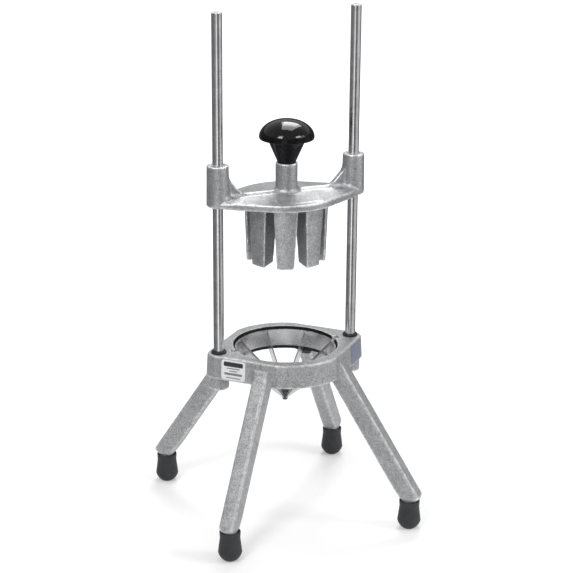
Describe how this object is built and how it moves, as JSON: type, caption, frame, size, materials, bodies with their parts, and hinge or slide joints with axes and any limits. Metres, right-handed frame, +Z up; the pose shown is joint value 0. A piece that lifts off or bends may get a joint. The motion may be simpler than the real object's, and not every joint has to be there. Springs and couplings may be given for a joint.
{
  "type": "fruit wedger press",
  "caption": "Upright press whose fingered head slides down two guide rods and pushes fruit through a ring of blades in a legged cast base.",
  "frame": {"origin": "on the floor, midway between the four feet", "axes": "+X from the left guide rod to the right one, +Y away from the front, +Z up along the rods"},
  "size_m": [0.2014, 0.2052, 0.4763],
  "materials": {
    "base_casting": "sand-cast, tumbled, fine matt grain",
    "head_casting": "sand-cast, tumbled bright on its ridges",
    "rod_steel": "polished round bar",
    "blade_steel": "ground stainless strip",
    "pin_steel": "dark turned steel",
    "fastener_steel": "plain turned steel",
    "foot_rubber": "matt moulded rubber",
    "bumper_rubber": "moulded rubber, slight sheen",
    "knob_plastic": "glossy moulded phenolic",
    "insert_brass": "turned brass",
    "bushing_nylon": "light grey nylon",
    "front_label": "white printed film with a dark band and plain grey rules",
    "end_label": "blank blue-grey film"
  },
  "bodies": {
    "frame": {"base_frame": "base_casting", "foot_front_left": "foot_rubber", "foot_front_right": "foot_rubber", "foot_back_left": "foot_rubber", "foot_back_right": "foot_rubber", "guide_rod_left": "rod_steel", "guide_rod_right": "rod_steel", "rod_bumper_left": "bumper_rubber", "rod_bumper_right": "bumper_rubber", "rod_washers": "fastener_steel", "rod_nuts": "fastener_steel", "blade_ring": "blade_steel", "blade_hub": "pin_steel", "blade_screws": "fastener_steel", "blade_1": "blade_steel", "blade_2": "blade_steel", "blade_3": "blade_steel", "blade_4": "blade_steel", "blade_5": "blade_steel", "blade_6": "blade_steel", "blade_7": "blade_steel", "blade_8": "blade_steel", "label_front": "front_label", "label_end": "end_label"},
    "head": {"pusher_head": "head_casting", "bushing_upper_left": "bushing_nylon", "bushing_upper_right": "bushing_nylon", "bushing_lower_left": "bushing_nylon", "bushing_lower_right": "bushing_nylon", "knob_stud": "fastener_steel", "knob_insert": "insert_brass", "knob": "knob_plastic"}
  },
  "joints": [
    {"name": "head_slide", "type": "slide", "parent": "frame", "child": "head", "axis": [0, 0, 1], "range_m": [-0.1365, 0.1356]}
  ]
}
